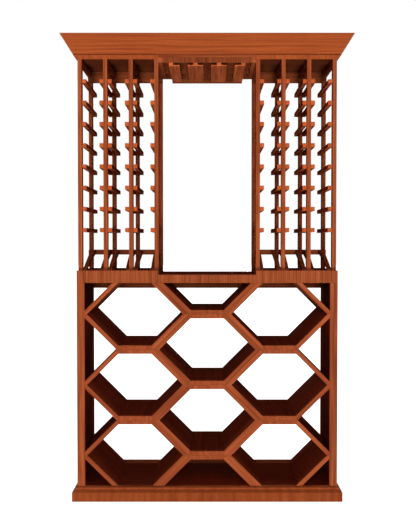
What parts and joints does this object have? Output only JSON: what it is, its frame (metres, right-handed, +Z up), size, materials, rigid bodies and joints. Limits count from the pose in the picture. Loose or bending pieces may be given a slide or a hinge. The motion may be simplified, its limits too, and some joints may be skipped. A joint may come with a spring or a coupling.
{
  "type": "wine rack",
  "caption": "Tall wooden wine rack: honeycomb of hexagonal bins below, ladders for single bottles with a slanted display row above, stem-glass rack, counter and crown moulding.",
  "frame": {"origin": "on the floor, at the middle of the bounding box", "axes": "+Z up, front towards -Y, +X to the right of someone facing the front"},
  "size_m": [1.327, 0.485, 2.13],
  "materials": {
    "case_wood": "satin reddish cherry stain, grain running up the boards",
    "bin_wood": "satin reddish cherry stain",
    "ladder_wood": "satin reddish cherry stain, sawn rails with brighter end grain",
    "moulding_wood": "satin reddish cherry stain, grain running along the moulding"
  },
  "bodies": {
    "root": {"bed_front_left": "moulding_wood", "bed_front_right": "moulding_wood", "bed_side_left": "moulding_wood", "bed_side_right": "moulding_wood", "bottom_face_rail": "case_wood", "cabinet_deck": "case_wood", "cabinet_top_panel": "case_wood", "column_base_left": "case_wood", "column_base_right": "case_wood", "column_top_rail_left": "ladder_wood", "column_top_rail_right": "ladder_wood", "counter_top": "case_wood", "cradle_cross_rail_left": "ladder_wood", "cradle_cross_rail_right": "ladder_wood", "crown_front": "moulding_wood", "crown_left": "moulding_wood", "crown_right": "moulding_wood", "glass_stop": "ladder_wood", "half_bin_bottom": "bin_wood", "half_bin_top": "bin_wood", "hex_bin_left_1": "bin_wood", "hex_bin_left_2": "bin_wood", "hex_bin_left_3": "bin_wood", "hex_bin_middle_1": "bin_wood", "hex_bin_middle_2": "bin_wood", "hex_bin_right_1": "bin_wood", "hex_bin_right_2": "bin_wood", "hex_bin_right_3": "bin_wood", "ladder_left_1": "ladder_wood", "ladder_left_2": "ladder_wood", "ladder_left_3": "ladder_wood", "ladder_left_4": "ladder_wood", "ladder_right_1": "ladder_wood", "ladder_right_2": "ladder_wood", "ladder_right_3": "ladder_wood", "ladder_right_4": "ladder_wood", "plinth_front": "moulding_wood", "plinth_left": "moulding_wood", "plinth_right": "moulding_wood", "rear_base_rail": "case_wood", "rear_top_rail": "case_wood", "roof_panel": "case_wood", "side_panel_left": "case_wood", "side_panel_right": "case_wood", "stem_cleat_left": "ladder_wood", "stem_cleat_right": "ladder_wood", "stem_rail_inner_left": "ladder_wood", "stem_rail_inner_right": "ladder_wood", "stem_rail_outer_left": "ladder_wood", "stem_rail_outer_right": "ladder_wood", "stem_slat_1": "ladder_wood", "stem_slat_2": "ladder_wood", "stem_slat_3": "ladder_wood", "stem_slat_4": "ladder_wood", "stile_left": "case_wood", "stile_right": "case_wood", "top_face_rail": "case_wood"}
  },
  "joints": []
}
